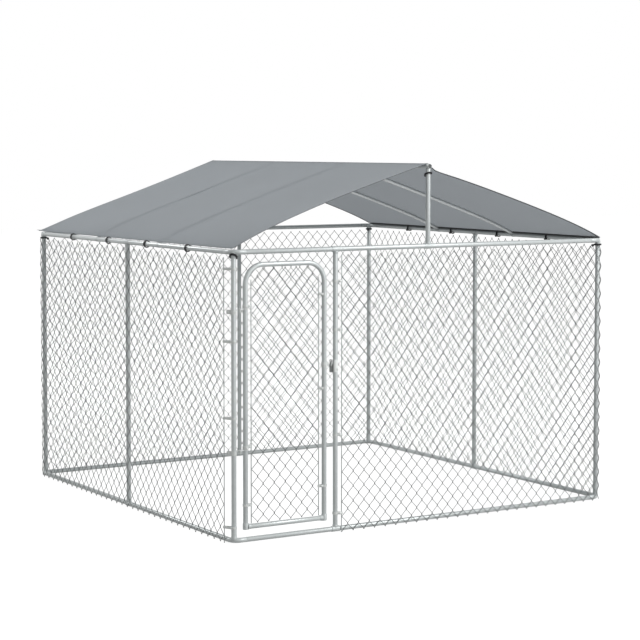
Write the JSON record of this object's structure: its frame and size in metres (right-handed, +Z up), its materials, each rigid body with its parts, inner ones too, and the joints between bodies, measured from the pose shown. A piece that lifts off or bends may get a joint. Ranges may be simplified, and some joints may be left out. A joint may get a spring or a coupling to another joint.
{
  "type": "walk-in chain-link pet kennel",
  "caption": "Square walk-in pet kennel of galvanised tube and chain-link mesh, with a hinged latching gate and a gabled canvas roof on a ridge pole.",
  "frame": {"origin": "on the ground under the middle of the plan", "axes": "+Z up, +X along the front towards its right end as seen from outside, and the front with the gate faces -Y"},
  "size_m": [3.0142, 3.0142, 2.3916],
  "materials": {
    "tube": "satin",
    "fitting": "satin",
    "wire": "satin",
    "hardware": "satin",
    "canvas": "matte"
  },
  "bodies": {
    "kennel": {"back_bottom_rail": "tube", "back_left_bottom_connector": "fitting", "back_left_post": "tube", "back_left_top_connector": "fitting", "back_mesh": "wire", "back_mid_bottom_tee": "fitting", "back_mid_post": "tube", "back_mid_top_tee": "fitting", "back_ridge_post": "tube", "back_ridge_tee": "fitting", "back_right_bottom_connector": "fitting", "back_right_post": "tube", "back_right_top_connector": "fitting", "back_top_rail": "tube", "canopy": "canvas", "front_bottom_rail": "tube", "front_left_bottom_connector": "fitting", "front_left_post": "tube", "front_left_top_connector": "fitting", "front_mesh": "wire", "front_ridge_post": "tube", "front_ridge_tee": "fitting", "front_right_bottom_connector": "fitting", "front_right_post": "tube", "front_right_top_connector": "fitting", "front_tension_bar": "hardware", "front_top_rail": "tube", "latch_bottom_tee": "fitting", "latch_collar": "hardware", "latch_post": "tube", "latch_top_tee": "fitting", "left_back_rafter": "tube", "left_bottom_rail": "tube", "left_front_rafter": "tube", "left_mesh": "wire", "left_mid_bottom_tee": "fitting", "left_mid_post": "tube", "left_mid_top_tee": "fitting", "left_tension_bar": "hardware", "left_top_rail": "tube", "lower_hinge_post_strap": "hardware", "ridge_pole": "tube", "right_back_rafter": "tube", "right_bottom_rail": "tube", "right_front_rafter": "tube", "right_mesh": "wire", "right_mid_bottom_tee": "fitting", "right_mid_post": "tube", "right_mid_top_tee": "fitting", "right_top_rail": "tube", "upper_hinge_post_strap": "hardware"},
    "gate": {"gate_frame": "tube", "gate_bottom_rail": "tube", "gate_mesh": "wire", "gate_left_tension_bar": "hardware", "gate_right_tension_bar": "hardware", "latch_keeper": "hardware", "lower_hinge_gate_strap": "hardware", "upper_hinge_gate_strap": "hardware"},
    "latch_lever": {"latch_lever": "hardware"}
  },
  "joints": [
    {"name": "gate_hinge", "type": "hinge", "parent": "kennel", "child": "gate", "pos_m": [-1.43044, -1.484, 0.9], "axis": [0, 0, -1], "range_deg": [0, 140]},
    {"name": "latch_lever_pivot", "type": "hinge", "parent": "kennel", "child": "latch_lever", "pos_m": [-0.7586, -1.484, 1.0947], "axis": [0, 1, 0], "range_deg": [0, 100]}
  ]
}
